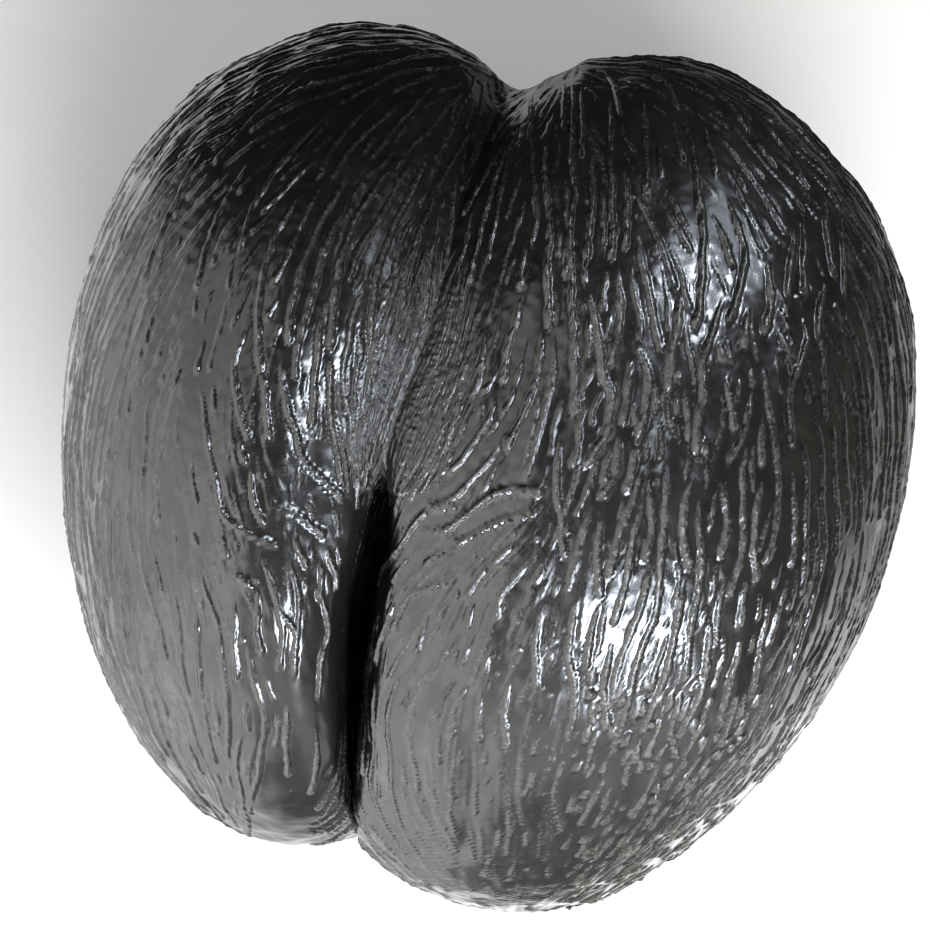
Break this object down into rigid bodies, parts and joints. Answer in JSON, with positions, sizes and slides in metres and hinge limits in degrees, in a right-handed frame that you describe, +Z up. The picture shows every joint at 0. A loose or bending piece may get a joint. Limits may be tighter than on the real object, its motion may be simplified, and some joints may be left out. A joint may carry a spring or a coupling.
{
  "type": "coco de mer nut",
  "caption": "Husked double nut for display: swollen lobes joined over the upper half, with a notch above, a deep cleft below and long raised ridges over the hard, polished shell.",
  "frame": {"origin": "middle of the bounding box's bottom face, on the table the nut lies on", "axes": "+X across the lobes toward the larger one, +Y along the nut toward the notch, +Z up out of the face with the valley"},
  "size_m": [0.3, 0.3122, 0.1687],
  "materials": {
    "shell": "polished near-black shell with greyer, duller ridges"
  },
  "bodies": {
    "root": {"nut": "shell"}
  },
  "joints": []
}
